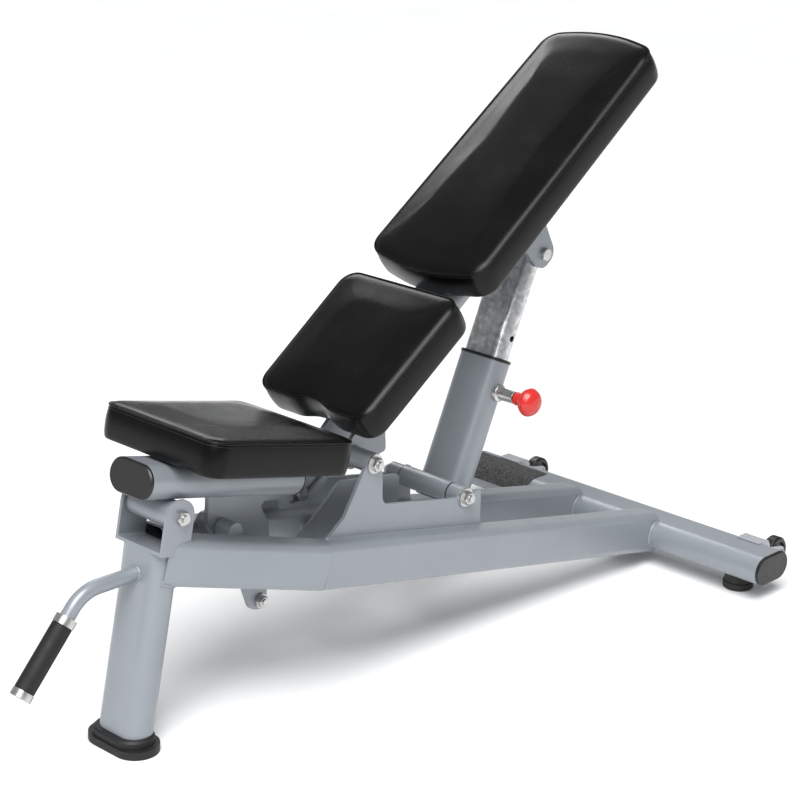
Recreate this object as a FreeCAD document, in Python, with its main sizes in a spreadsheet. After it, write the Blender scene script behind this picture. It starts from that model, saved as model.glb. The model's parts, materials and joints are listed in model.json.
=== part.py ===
# Adjustable weight bench: a tube frame, a hinged seat, a hinged backrest with lumbar and back pads,
# and a telescoping support strut with a spring pull pin. Millimetres. +X runs to the rear, +Z is up and the
# carry handle is at -X. The origin is on the floor, at the middle of the whole length.
# The near side of the bench (-Y) is the user's left.
import math
import os

import FreeCAD
import Part
import Sketcher

Vector = FreeCAD.Vector
Rotation = FreeCAD.Rotation
Placement = FreeCAD.Placement

os.makedirs("parts", exist_ok=True)
doc = FreeCAD.newDocument("weight_bench")

# ---------------------------------------------------------------- driving sizes
SIZES = {
    # flat-oval frame tube
    "tube_wide": 90.0,
    "tube_thick": 50.0,
    "tube_wall": 3.0,
    # base layout
    "boot_x": -527.2,
    "wheelbase": 1118.5,
    "cross_tube_length": 670.0,
    "cross_tube_height": 53.0,
    "post_lean": 10.7,
    "post_length": 291.0,
    "boot_height": 24.0,
    "foot_radius": 26.0,
    "foot_height": 28.0,
    "foot_offset": 269.0,
    # rails, measured from the centre of the boot
    "rail_start_x": 48.0,
    "rail_start_y": 23.0,
    "rail_tall": 70.0,
    "rail_corner": 12.0,
    "rail_start_z": 276.0,
    "rail_mitre_x": 295.6,
    "rail_y": 85.0,
    "rail_mitre_z": 216.5,
    "rail_end_z": 50.5,
    "rail_overlap": 22.0,
    "rail_end_short": 20.0,
    # seat
    "seat_hinge_on_post": 347.0,
    "seat_tilt": 12.6,
    "seat_tube_start": -59.0,
    "seat_tube_length": 300.0,
    "seat_tube_rise": 44.0,
    "seat_pivot_radius": 20.0,
    "bracket_width": 100.0,
    "bracket_depth": 50.0,
    "bracket_plate": 5.0,
    "seat_pad_start": -26.0,
    "seat_pad_length": 276.0,
    "seat_pad_corner": 26.0,
    "seat_pad_front": 244.0,
    "seat_pad_rear": 252.0,
    # backrest
    "back_angle": 36.3,
    "back_pivot_x": 414.6,
    "back_pivot_z": 342.4,
    "pad_seat_gap": 57.0,
    "pad_thick": 57.0,
    "board_thick": 15.0,
    "bar_thick": 4.0,
    "spine_wide": 90.0,
    "spine_thick": 40.0,
    "spine_start": 62.0,
    "spine_length": 628.0,
    "lumbar_start": 3.0,
    "lumbar_length": 246.0,
    "lumbar_width": 232.0,
    "back_start": 298.0,
    "back_length": 504.0,
    "back_width_low": 233.0,
    "back_width_top": 219.0,
    "back_corner": 34.0,
    "back_bow": 26.0,
    "back_bow_radius": 300.0,
    # side plates and pivots
    "plate_outer": 79.0,
    "plate_thick": 6.0,
    "pivot_radius": 16.0,
    "pivot_bore": 13.0,
    "pivot_half": 36.5,
    "strut_pivot_radius": 17.0,
    "strut_pivot_half": 50.0,
    "bush_flange": 2.2,
    "bolt_radius": 6.0,
    "run_gap": 0.05,
    # support strut
    "strut_pivot_x": 621.8,
    "strut_pivot_z": 236.0,
    "strut_offset": 41.0,
    "strut_ear_along": 473.8,
    "strut_ear_below": 42.6,
    "sleeve_below": 20.0,
    "sleeve_above": 219.0,
    "inner_wide": 80.0,
    "inner_thick": 40.0,
    "inner_wall": 2.5,
    "inner_length": 385.0,
    "pin_height": 171.4,
    "hole_pitch": 44.0,
    "hole_radius": 5.0,
    "pin_radius": 4.8,
    "knob_radius": 23.5,
    # seat drive
    "lever_reach": 90.0,
    "lever_angle": 178.0,
    "cam_pin_radius": 6.0,
    "cam_slot_gap": 0.4,
    # wheels
    "wheel_x": 99.0,
    "wheel_z": 39.0,
    "wheel_y": 268.0,
    "wheel_radius": 26.0,
    "wheel_width": 20.0,
    # handle
    "handle_radius": 11.0,
    "grip_radius": 15.0,
    "grip_length": 108.0,
}

sheet = doc.addObject("Spreadsheet::Sheet", "Sizes")
for row, (alias, value) in enumerate(SIZES.items(), start=1):
    sheet.set("A%d" % row, alias)
    sheet.set("B%d" % row, str(value))
    sheet.setAlias("B%d" % row, alias)
doc.recompute()


class Sizes:
    """Reads the sheet's values by name."""

    def __getattr__(self, alias):
        return float(sheet.get(alias))


S = Sizes()
NODES = {}


def expr(formula):
    """Turns a formula of alias names into one that reads the sheet."""
    words = []
    for word in formula.replace("(", " ( ").replace(")", " ) ").split():
        words.append("Sizes." + word if word in SIZES else word)
    return " ".join(words)


def value_of(formula):
    """The number a formula of alias names gives."""
    total = formula
    for alias in sorted(SIZES, key=len, reverse=True):
        total = total.replace(alias, "(%r)" % SIZES[alias])
    return float(FreeCAD.Units.Quantity(total).Value)


def node(name, obj):
    """Marks an object as one exported piece."""
    obj.Label = name
    NODES[name] = obj
    return obj


# ---------------------------------------------------------------- frames of reference
BOOT_X = S.boot_x
TILT_Y = Vector(0, 1, 0)


def at(x, y, z):
    """A point measured from the centre of the boot on the floor."""
    return Vector(BOOT_X + x, y, z)


def frame(origin, pitch):
    """Axes pitched about Y: local X and Z turn together, a positive pitch lowers local X."""
    return Placement(origin, Rotation(TILT_Y, pitch))


def aligned(origin, z_axis, x_axis):
    """A placement whose local Z and X follow the given directions."""
    z_dir = Vector(z_axis).normalize()
    x_dir = Vector(x_axis) - z_dir * Vector(x_axis).dot(z_dir)
    x_dir.normalize()
    y_dir = z_dir.cross(x_dir)
    return Placement(origin, Rotation(x_dir, y_dir, z_dir, "ZXY"))


POST = frame(at(0, 0, 0), S.post_lean)
SEAT = frame(POST.multVec(Vector(0, 0, S.seat_hinge_on_post)), S.seat_tilt)
BACK = frame(at(S.back_pivot_x, 0, S.back_pivot_z), -S.back_angle)
STRUT_PIVOT = at(S.strut_pivot_x, 0, S.strut_pivot_z)
EAR_POINT = BACK.multVec(Vector(S.strut_ear_along, 0, -S.strut_ear_below))


def strut_frame():
    """Axis of the telescoping strut: it passes behind its lower pivot and through the ear bolt."""
    reach = EAR_POINT - STRUT_PIVOT
    span = math.hypot(reach.x, reach.z)
    rise = math.atan2(reach.z, reach.x) + math.asin(S.strut_offset / span)
    pitch = 90 - math.degrees(rise)
    placed = Placement(STRUT_PIVOT, Rotation(TILT_Y, pitch))
    origin = placed.multVec(Vector(S.strut_offset, 0, 0))
    return Placement(origin, placed.Rotation), math.sqrt(span**2 - S.strut_offset**2)


STRUT, STRUT_REACH = strut_frame()


# ---------------------------------------------------------------- sketching helpers
def plane_of(body, role):
    return next(f for f in body.Origin.OriginFeatures if f.Role == role)


def new_sketch(body, role="XY_Plane", offset=None):
    """A sketch on one of the body's own planes, shifted by the offset given."""
    sketch = body.newObject("Sketcher::SketchObject", body.Name + "_sketch")
    sketch.AttachmentSupport = (plane_of(body, role), "")
    sketch.MapMode = "FlatFace"
    if offset is not None:
        sketch.AttachmentOffset = Placement(offset, Rotation())
    return sketch


def new_body(name, placement):
    body = doc.addObject("PartDesign::Body", name)
    body.Placement = placement
    return body


def pad(body, sketch, length, symmetric=False, reverse=False):
    feature = body.newObject("PartDesign::Pad", body.Name + "_pad")
    feature.Profile = sketch
    feature.setExpression("Length", expr(length))
    feature.Midplane = symmetric
    feature.Reversed = reverse
    body.Tip = feature
    return feature


def pocket_through(body, sketch):
    """Removes the sketch's outline from the body in both directions."""
    feature = body.newObject("PartDesign::Pocket", body.Name + "_pocket")
    feature.Profile = sketch
    feature.Type = "ThroughAll"
    feature.Midplane = True
    body.Tip = feature
    return feature


def add_loop(sketch, corners):
    """A closed outline; each corner is (x, y) or (x, y, radius)."""
    count = len(corners)
    joints = []
    for i, corner in enumerate(corners):
        here = Vector(corner[0], corner[1], 0)
        radius = corner[2] if len(corner) > 2 else 0.0
        if radius <= 0:
            joints.append((here, None, here))
            continue
        back = (Vector(corners[i - 1][0], corners[i - 1][1], 0) - here).normalize()
        following = corners[(i + 1) % count]
        ahead = (Vector(following[0], following[1], 0) - here).normalize()
        half = back.getAngle(ahead) / 2
        cut_back = radius / math.tan(half)
        middle = here + (back + ahead).normalize() * (radius / math.sin(half) - radius)
        joints.append((here + back * cut_back, middle, here + ahead * cut_back))
    for i, (enter, middle, leave) in enumerate(joints):
        if middle is not None:
            sketch.addGeometry(Part.Arc(enter, middle, leave))
        after = joints[(i + 1) % count][0]
        if (after - leave).Length > 1e-6:
            sketch.addGeometry(Part.LineSegment(leave, after))


def add_oval(sketch, wide, thick):
    """A flat oval about the sketch origin, its sizes read from the sheet."""
    half = (value_of(wide) - value_of(thick)) / 2
    rad = value_of(thick) / 2
    up = Vector(0, 0, 1)
    top = sketch.addGeometry(Part.LineSegment(Vector(-half, rad, 0), Vector(half, rad, 0)))
    low = sketch.addGeometry(Part.LineSegment(Vector(half, -rad, 0), Vector(-half, -rad, 0)))
    quarter = math.pi / 2
    right_circle = Part.Circle(Vector(half, 0, 0), up, rad)
    left_circle = Part.Circle(Vector(-half, 0, 0), up, rad)
    right = sketch.addGeometry(Part.ArcOfCircle(right_circle, -quarter, quarter))
    left = sketch.addGeometry(Part.ArcOfCircle(left_circle, quarter, 3 * quarter))
    sketch.addConstraint(Sketcher.Constraint("Tangent", top, 2, right, 2))
    sketch.addConstraint(Sketcher.Constraint("Tangent", low, 1, right, 1))
    sketch.addConstraint(Sketcher.Constraint("Tangent", low, 2, left, 2))
    sketch.addConstraint(Sketcher.Constraint("Tangent", top, 1, left, 1))
    sketch.addConstraint(Sketcher.Constraint("Symmetric", right, 3, left, 3, -1, 1))
    sketch.addConstraint(Sketcher.Constraint("Horizontal", top))
    radius = sketch.addConstraint(Sketcher.Constraint("Radius", right, rad))
    sketch.setExpression("Constraints[%d]" % radius, expr("( %s ) / 2" % thick))
    spread = sketch.addConstraint(Sketcher.Constraint("DistanceX", left, 3, right, 3, 2 * half))
    sketch.setExpression("Constraints[%d]" % spread, expr("( %s ) - ( %s )" % (wide, thick)))


def add_circle(sketch, radius, x=0.0, y=0.0):
    circle = Part.Circle(Vector(x, y, 0), Vector(0, 0, 1), value_of(radius))
    index = sketch.addGeometry(circle)
    rule = sketch.addConstraint(Sketcher.Constraint("Radius", index, value_of(radius)))
    sketch.setExpression("Constraints[%d]" % rule, expr(radius))


# ---------------------------------------------------------------- shape helpers
def oval_bar(name, placement, length, wide="tube_wide", thick="tube_thick", symmetric=False):
    """A solid flat-oval bar along local Z, wide along local X."""
    body = new_body(name, placement)
    sketch = new_sketch(body)
    add_oval(sketch, wide, thick)
    pad(body, sketch, length, symmetric)
    return body


def oval_tube(name, placement, length, wide="tube_wide", thick="tube_thick", wall="tube_wall",
              symmetric=False):
    """A flat-oval tube along local Z, wide along local X."""
    body = new_body(name, placement)
    sketch = new_sketch(body)
    add_oval(sketch, wide, thick)
    add_oval(sketch, "%s - 2 * %s" % (wide, wall), "%s - 2 * %s" % (thick, wall))
    pad(body, sketch, length, symmetric)
    return body


def ring(name, placement, outer, bore, length, symmetric=True):
    """A round tube along local Z."""
    body = new_body(name, placement)
    sketch = new_sketch(body)
    add_circle(sketch, outer)
    add_circle(sketch, bore)
    pad(body, sketch, length, symmetric)
    return body


def plate(name, placement, corners, thick, role="XZ_Plane", symmetric=True, holes=()):
    """A flat plate in one of the body's planes, with round holes given as (x, y, radius)."""
    body = new_body(name, placement)
    sketch = new_sketch(body, role)
    add_loop(sketch, corners)
    for x, y, radius in holes:
        add_circle(sketch, radius, x, y)
    pad(body, sketch, thick, symmetric)
    return body


def turned(name, placement, profile):
    """A body turned about local Z from (radius, height) corners."""
    body = new_body(name, placement)
    sketch = new_sketch(body, "XZ_Plane")
    add_loop(sketch, profile)
    feature = body.newObject("PartDesign::Revolution", name + "_turn")
    feature.Profile = sketch
    feature.ReferenceAxis = (sketch, ["V_Axis"])
    feature.Angle = 360
    body.Tip = feature
    return body


def chamfer_top(body, size):
    """Breaks the outer edges of the body's highest local Z face."""
    doc.recompute()
    tip = body.Tip
    top = tip.Shape.BoundBox.ZMax
    edges = ["Edge%d" % i for i, edge in enumerate(tip.Shape.Edges, start=1)
             if abs(edge.BoundBox.ZMin - top) < 1e-4 and abs(edge.BoundBox.ZMax - top) < 1e-4]
    feature = body.newObject("PartDesign::Chamfer", body.Name + "_chamfer")
    feature.Base = (tip, edges)
    feature.Size = size
    body.Tip = feature


def rod(name, placement, radius, length):
    """A solid round bar along local Z."""
    shape = doc.addObject("Part::Cylinder", name)
    shape.setExpression("Radius", expr(radius))
    shape.setExpression("Height", expr(length))
    shape.Placement = placement
    return shape


def block(name, placement, size):
    """A box centred on local X and Y, rising along local Z."""
    shape = doc.addObject("Part::Box", name)
    shape.Length, shape.Width, shape.Height = size
    shape.Placement = placement.multiply(Placement(Vector(-size[0] / 2, -size[1] / 2, 0), Rotation()))
    return shape


def hexagon(name, placement, across, height):
    """A hexagon bolt head or nut along local Z, its top edge turned down to a chamfer."""
    body = new_body(name, placement)
    sketch = new_sketch(body)
    reach = across / math.sqrt(3)
    turns = [math.radians(60 * i) for i in range(6)]
    add_loop(sketch, [(reach * math.cos(a), reach * math.sin(a)) for a in turns])
    pad(body, sketch, str(height))
    dome = turned(name + "_dome", placement, [
        (0, 0), (reach, 0), (reach, height - 1.6), (across / 2 - 0.6, height), (0, height)])
    return common(name + "_chamfered", body, dome)


def common(name, first, second):
    shape = doc.addObject("Part::Common", name)
    shape.Base, shape.Tool = first, second
    return shape


def fuse(name, pieces):
    shape = doc.addObject("Part::MultiFuse", name)
    shape.Shapes = pieces
    shape.Refine = True
    return shape


def cut(name, base, tools):
    """The base with every tool taken out of it."""
    tool = tools[0] if len(tools) == 1 else fuse(name + "_tools", tools)
    shape = doc.addObject("Part::Cut", name)
    shape.Base, shape.Tool = base, tool
    shape.Refine = True
    return shape


def group(name, pieces):
    """Several equal pieces in one node, each a solid of its own."""
    shape = doc.addObject("Part::Compound", name)
    shape.Links = pieces
    return shape


def moved(placement, x=0.0, y=0.0, z=0.0, rotation=None):
    return placement.multiply(Placement(Vector(x, y, z), rotation or Rotation()))


ALONG_Y = Rotation(Vector(1, 0, 0), -90)
QUARTER_TURN = Rotation(Vector(0, 0, 1), 90)
UPSIDE_DOWN = Rotation(Vector(1, 0, 0), 180)
LEFT, RIGHT = -1, 1


def across(placement, x, z, y=0.0):
    """Axis along +Y through local (x, z)."""
    return moved(placement, x, y, z, ALONG_Y)


def outward(placement, side, x, z, y):
    """Axis along the outward side, starting at |y| on that side."""
    turn = ALONG_Y if side == RIGHT else Rotation(Vector(1, 0, 0), 90)
    return moved(placement, x, side * y, z, turn)


WORLD = Placement(Vector(BOOT_X, 0, 0), Rotation())


# ================================================================ frame
# ---- post and boot
post_bar = oval_bar("post_bar", moved(POST, 0, 0, 6, QUARTER_TURN), "post_length + 80")
post_tube = oval_tube("post_tube", moved(POST, 0, 0, 6, QUARTER_TURN), "post_length - 6")
node("front_post", post_tube)

boot = new_body("boot_body", moved(WORLD, rotation=QUARTER_TURN))
boot_foot = new_sketch(boot)
add_oval(boot_foot, "tube_wide + 31", "tube_thick + 18")
pad(boot, boot_foot, "boot_height / 2")
boot_top = new_sketch(boot, offset=Vector(0, 0, S.boot_height / 2))
add_oval(boot_top, "tube_wide + 12", "tube_thick + 12")
pad(boot, boot_top, "boot_height / 2")
chamfer_top(boot, 3.0)
node("front_boot", cut("boot_cut", boot, [post_bar]))

# ---- seat bracket: a U of plate on top of the post
SEAT_LIFT = S.seat_hinge_on_post - S.post_length
bracket = new_body("bracket_body", moved(POST, 0, 0, S.post_length))
side_view = new_sketch(bracket, "XZ_Plane")
HALF_DEPTH = S.bracket_depth / 2
add_loop(side_view, [
    (-HALF_DEPTH, 0), (HALF_DEPTH, 0),
    (HALF_DEPTH, SEAT_LIFT + HALF_DEPTH, HALF_DEPTH - 0.5),
    (-HALF_DEPTH, SEAT_LIFT + HALF_DEPTH, HALF_DEPTH - 0.5)])
pad(bracket, side_view, "bracket_width", symmetric=True)
HALF_INNER = S.bracket_width / 2 - S.bracket_plate
inside = new_sketch(bracket, "YZ_Plane")
add_loop(inside, [
    (-HALF_INNER, S.bracket_plate, 3), (HALF_INNER, S.bracket_plate, 3),
    (HALF_INNER, 150), (-HALF_INNER, 150)])
pocket_through(bracket, inside)
bolt_hole = new_sketch(bracket, "XZ_Plane")
add_circle(bolt_hole, "bolt_radius + run_gap", 0, SEAT_LIFT)
pocket_through(bracket, bolt_hole)
node("seat_bracket", bracket)
bracket_space = block("bracket_space", moved(POST, 0, 0, S.post_length), (
    S.bracket_depth + 0.4, S.bracket_width + 0.4, 90))

# ---- rails: two rounded rectangular lengths mitred together on each side
RAIL_START = at(S.rail_start_x, S.rail_start_y, S.rail_start_z)
RAIL_MITRE = at(S.rail_mitre_x, S.rail_y, S.rail_mitre_z)
RAIL_END = at(S.wheelbase, S.rail_y, S.rail_end_z)


def mirrored(point, side):
    return Vector(point.x, side * point.y, point.z)


def add_rail_section(sketch, inset=0.0):
    """The rail's rounded rectangle, tall along local X, drawn in by the inset."""
    tall, thick = S.rail_tall / 2 - inset, S.tube_thick / 2 - inset
    radius = S.rail_corner - inset
    add_loop(sketch, [(-tall, -thick, radius), (tall, -thick, radius),
                      (tall, thick, radius), (-tall, thick, radius)])


def rail_bar(name, placement, length):
    """A solid rail length along local Z."""
    body = new_body(name, placement)
    sketch = new_sketch(body)
    add_rail_section(sketch)
    pad(body, sketch, length)
    return body


def rail_tube(name, placement, length):
    """A hollow rail length along local Z."""
    body = new_body(name, placement)
    sketch = new_sketch(body)
    add_rail_section(sketch)
    add_rail_section(sketch, S.tube_wall)
    pad(body, sketch, length)
    return body


def rail_run(name, side, start, end, mitre_normal, make):
    """One straight length, overlong at the mitre and cut back to its plane."""
    heading = (end - start).normalize()
    length = (end - start).Length + S.rail_overlap * 2
    origin = start - heading * (S.rail_overlap if mitre_normal is not None and
                                mitre_normal.dot(heading) < 0 else 0.0)
    run = make(name, aligned(origin, heading, Vector(0, 0, 1)), str(length))
    toward = mitre_normal
    keep_out = block(name + "_mitre", aligned(mirrored(RAIL_MITRE, side), toward,
                                              Vector(0, 0, 1)), (300, 300, 300))
    return cut(name + "_run", run, [keep_out])


def rail_pair(name, side, make):
    start, mitre, end = (mirrored(p, side) for p in (RAIL_START, RAIL_MITRE, RAIL_END))
    plane = ((mitre - start).normalize() + (end - mitre).normalize()).normalize()
    front = rail_run(name + "_front", side, start, mitre, plane, make)
    rear = rail_run(name + "_rear", side, mitre, end, plane * -1, make)
    return fuse(name + "_joined", [front, rear])


CROSS_TUBE = Placement(at(S.wheelbase, 0, S.cross_tube_height), ALONG_Y)
cross_bar = oval_bar("cross_bar", CROSS_TUBE, "cross_tube_length", symmetric=True)
post_outline = oval_bar("post_outline", moved(POST, 0, 0, 150, QUARTER_TURN), "400")
rail_bars = {}
RAIL_STOP = S.wheelbase - S.rail_end_short
for side, name in ((LEFT, "rail_left"), (RIGHT, "rail_right")):
    tail = block(name + "_tail", Placement(at(RAIL_STOP + 80, side * S.rail_y, 0), Rotation()),
                 (160, 120, 160))
    rail_bars[side] = rail_pair(name + "_bar", side, rail_bar)
    end_slice = block(name + "_slice", Placement(
        at(RAIL_STOP - S.tube_wall / 2, side * S.rail_y, 0), Rotation()), (S.tube_wall, 120, 160))
    end_plate = common(name + "_end_plate", rail_bars[side], end_slice)
    closed = fuse(name + "_closed", [rail_pair(name + "_tube", side, rail_tube), end_plate])
    node(name, cut(name + "_coped", closed, [post_outline, bracket_space, cross_bar, tail]))

# ---- rear cross tube with caps, feet and grip pad
node("rear_cross_tube", oval_tube("cross_tube", CROSS_TUBE, "cross_tube_length - 10",
                                  symmetric=True))


def tube_cap(name, placement, wide="tube_wide", thick="tube_thick"):
    """A plastic end cap along local Z: a chamfered head and a plug that fits the tube's bore."""
    body = new_body(name, placement)
    plug = new_sketch(body, offset=Vector(0, 0, -CAP_PLUG))
    add_oval(plug, wide + " - 2 * tube_wall - 0.1", thick + " - 2 * tube_wall - 0.1")
    pad(body, plug, str(CAP_PLUG))
    head = new_sketch(body)
    add_oval(head, wide, thick)
    pad(body, head, str(CAP_HEAD))
    chamfer_top(body, 2.0)
    return body


CAP_HEAD = 5.0
CAP_PLUG = 16.0
half_cross = S.cross_tube_length / 2 - CAP_HEAD
node("cross_tube_caps", group("cross_caps", [
    tube_cap("cross_cap_right", moved(CROSS_TUBE, 0, 0, half_cross)),
    tube_cap("cross_cap_left", moved(CROSS_TUBE, 0, 0, -half_cross, UPSIDE_DOWN))]))

FOOT_R, FOOT_H = S.foot_radius, S.foot_height
node("rear_feet", group("feet", [
    turned("foot_%s" % tag, Placement(at(S.wheelbase, side * S.foot_offset, 0), Rotation()), [
        (0, 0), (FOOT_R - 3, 0, 1), (FOOT_R, 3, 1), (FOOT_R, 12), (FOOT_R - 2, 13),
        (FOOT_R - 2, FOOT_H), (0, FOOT_H)])
    for side, tag in ((LEFT, "left"), (RIGHT, "right"))]))

GRIP_PAD = 1.6
pad_length = 158.0
pad_middle = 171.0 + pad_length / 2
pad_shell = oval_bar("pad_shell", moved(CROSS_TUBE, 0, 0, pad_middle), str(pad_length),
                     "tube_wide + %s" % (2 * GRIP_PAD), "tube_thick + %s" % (2 * GRIP_PAD), True)
pad_cover = block("pad_cover", Placement(
    at(S.wheelbase - 19, pad_middle, S.cross_tube_height), Rotation()), (66, pad_length, 40))
node("anti_slip_pad", cut("pad_cut", common("pad_top", pad_shell, pad_cover), [cross_bar]))

# ---- cross member and gusset between the rails
MEMBER_X, MEMBER_Z, MEMBER_LONG, MEMBER_TALL, MEMBER_WALL = 430.0, 192.0, 60.0, 36.0, 3.0
member = new_body("member_body", Placement(at(MEMBER_X, 0, MEMBER_Z), Rotation()))
member_section = new_sketch(member, "XZ_Plane")
for inset in (0.0, MEMBER_WALL):
    half_long, half_tall = MEMBER_LONG / 2 - inset, MEMBER_TALL / 2 - inset
    radius = 6.0 - inset
    add_loop(member_section, [(-half_long, -half_tall, radius), (half_long, -half_tall, radius),
                              (half_long, half_tall, radius), (-half_long, half_tall, radius)])
pad(member, member_section, "2 * rail_y", symmetric=True)
node("cross_member", cut("member_coped", member, [rail_bars[LEFT], rail_bars[RIGHT]]))

GUSSET_Y = -12.0
gusset = plate("gusset", moved(WORLD, 0, GUSSET_Y, 0), [
    (314, 224, 5), (336, 239, 5), (409, 298, 16), (538, 278, 8), (538, 224, 8),
    (470, MEMBER_Z + MEMBER_TALL / 2), (390, MEMBER_Z + MEMBER_TALL / 2)], "plate_thick")
node("centre_gusset", gusset)

# ---- side plates with their pivot bosses
BACK_PIVOT = Placement(at(S.back_pivot_x, 0, S.back_pivot_z), Rotation())
STRUT_FOOT = Placement(STRUT_PIVOT, Rotation())
PLATE_MIDDLE = S.plate_outer - S.plate_thick / 2
PLATE_OUTLINE = [
    (311, 240, 3), (355, 272, 12), (395, 337, 3), (S.back_pivot_x, S.back_pivot_z + 1),
    (433, 325, 3), (435, 272, 16), (586, 242, 3), (S.strut_pivot_x, S.strut_pivot_z + 1),
    (659, 240, 4), (660, 176, 3), (320, 238)]
boss_long = {"a": S.plate_outer - S.pivot_half - S.bush_flange - 0.3,
             "b": S.plate_outer - S.strut_pivot_half - S.bush_flange - 0.3}
bosses = {"a": [], "b": []}
for side, name in ((LEFT, "side_plate_left"), (RIGHT, "side_plate_right")):
    cutters = [rail_bars[side]]
    for key, centre in (("a", BACK_PIVOT), ("b", STRUT_FOOT)):
        middle = side * (S.plate_outer - boss_long[key] / 2)
        bosses[key].append(ring("boss_%s_%s" % (key, name), across(centre, 0, 0, middle),
                                "pivot_radius", "bolt_radius + run_gap", str(boss_long[key])))
        cutters.append(rod("saddle_%s_%s" % (key, name), across(centre, 0, 0, side * PLATE_MIDDLE - 20),
                           "pivot_radius", "40"))
    blank = plate(name + "_blank", moved(WORLD, 0, side * PLATE_MIDDLE, 0), PLATE_OUTLINE,
                  "plate_thick")
    node(name, cut(name + "_cut", blank, cutters))
node("pivot_bosses", group("boss_set", bosses["a"] + bosses["b"]))

# ---- pivot bolts, nuts and washers
WASHER = 3.0
HEAD, NUT = 7.5, 9.0
FLATS = 19.0
shank_end = S.plate_outer + WASHER
pivot_bolts, pivot_nuts, pivot_washers = [], [], []


def bolt(name, centre, reach_right, reach_left, radius="bolt_radius", flats=FLATS, head=HEAD):
    """A hex bolt through from +Y; its shank runs from the head to past the nut."""
    shank = rod(name + "_shank", across(centre, 0, 0, -reach_left - NUT - 4), radius,
                str(reach_left + reach_right + NUT + 4))
    cap = hexagon(name + "_head", across(centre, 0, 0, reach_right), flats, head)
    return fuse(name, [shank, cap])


def nut(name, centre, reach_left, bore="bolt_radius", flats=FLATS):
    body = hexagon(name + "_hex", outward(centre, LEFT, 0, 0, reach_left), flats, NUT)
    thread = rod(name + "_thread", across(centre, 0, 0, -reach_left - 20), bore, "30")
    return cut(name, body, [thread])


for key, centre in (("a", BACK_PIVOT), ("b", STRUT_FOOT)):
    pivot_bolts.append(bolt("bolt_" + key, centre, shank_end, shank_end))
    pivot_nuts.append(nut("nut_" + key, centre, shank_end))
    for side in (LEFT, RIGHT):
        pivot_washers.append(ring("washer_%s_%d" % (key, side + 1), across(
            centre, 0, 0, side * (S.plate_outer + WASHER / 2)), "pivot_radius - 1",
            "bolt_radius + run_gap", str(WASHER)))
node("pivot_washers", group("pivot_washer_set", pivot_washers))

SEAT_AXIS = Placement(SEAT.Base, Rotation())
ear_out = S.bracket_width / 2
pivot_bolts.append(bolt("seat_bolt", SEAT_AXIS, ear_out, ear_out))
pivot_nuts.append(nut("seat_nut", SEAT_AXIS, ear_out))
node("pivot_bolts", group("pivot_bolt_set", pivot_bolts))
node("pivot_nuts", group("pivot_nut_set", pivot_nuts))

# ---- seat guides welded to the rails' inner faces
guides = []
for side, tag in ((LEFT, "left"), (RIGHT, "right")):
    slab = plate("guide_" + tag, moved(WORLD, 0, side * 20.5, 0), [
        (166, 250, 3), (192, 250, 3), (192, 297, 12.5), (166, 297, 12.5)], "30")
    guides.append(cut("guide_%s_cut" % tag, slab, [rail_bars[side]]))
node("seat_guides", group("guide_pair", guides))

# ---- carry handle: bent tube with collar, grip and end cap
HANDLE_ROOT = at(34, 0, 253.7)
HANDLE_REACH, HANDLE_BEND, HANDLE_DROP, HANDLE_TAIL = 103.0, 60.0, 131.2, 160.0
handle_axes = Placement(HANDLE_ROOT, Rotation(Vector(0, 0, 1), 180))
handle_body = new_body("handle_body", handle_axes)
path = new_sketch(handle_body, "XZ_Plane")
drop = math.radians(HANDLE_DROP - 180)
tangent = HANDLE_BEND * math.tan(abs(drop) / 2)
bend_in = Vector(HANDLE_REACH - tangent, 0, 0)
heading = Vector(math.cos(drop), math.sin(drop), 0)
bend_out = Vector(HANDLE_REACH, 0, 0) + heading * tangent
bend_centre = bend_in + Vector(0, -HANDLE_BEND, 0)
half_turn = abs(drop) / 2
bend_middle = bend_centre + Vector(math.sin(half_turn), math.cos(half_turn), 0) * HANDLE_BEND
tail_end = Vector(HANDLE_REACH, 0, 0) + heading * HANDLE_TAIL
path.addGeometry(Part.LineSegment(Vector(0, 0, 0), bend_in))
path.addGeometry(Part.Arc(bend_in, bend_middle, bend_out))
path.addGeometry(Part.LineSegment(bend_out, tail_end))
section = new_sketch(handle_body, "YZ_Plane")
add_circle(section, "handle_radius")
add_circle(section, "handle_radius - 2")
sweep = handle_body.newObject("PartDesign::AdditivePipe", "handle_sweep")
sweep.Profile = section
sweep.Spine = path
handle_body.Tip = sweep
node("carry_handle", cut("handle_coped", handle_body, [post_bar]))

HANDLE_END = handle_axes.multVec(Vector(tail_end.x, 0, tail_end.y))
handle_dir = handle_axes.Rotation.multVec(Vector(heading.x, 0, heading.y))
TAIL = aligned(HANDLE_END, handle_dir, Vector(0, 1, 0))
GRIP = S.grip_length
COLLAR_LONG, COLLAR_PAST_END = 12.0, 5.0
COLLAR_RADIUS = S.grip_radius + 1
collar_floor = COLLAR_PAST_END - COLLAR_LONG
node("handle_grip", turned("grip", moved(TAIL, 0, 0, -GRIP), [
    (S.handle_radius, 0), (S.grip_radius - 1, 0), (S.grip_radius, 1),
    (S.grip_radius, GRIP + collar_floor - 1), (S.grip_radius - 1, GRIP + collar_floor),
    (S.handle_radius, GRIP + collar_floor)]))
plug_radius = S.handle_radius - 2.05
node("handle_collars", group("collar_pair", [
    ring("collar_upper", moved(TAIL, 0, 0, -GRIP - COLLAR_LONG / 2), "%s" % COLLAR_RADIUS,
         "handle_radius", str(COLLAR_LONG)),
    turned("collar_end", TAIL, [
        (0, -12), (plug_radius, -12), (plug_radius, 0), (S.handle_radius, 0),
        (S.handle_radius, collar_floor), (COLLAR_RADIUS, collar_floor),
        (COLLAR_RADIUS, COLLAR_PAST_END, 1.5), (0, COLLAR_PAST_END)])]))

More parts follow.
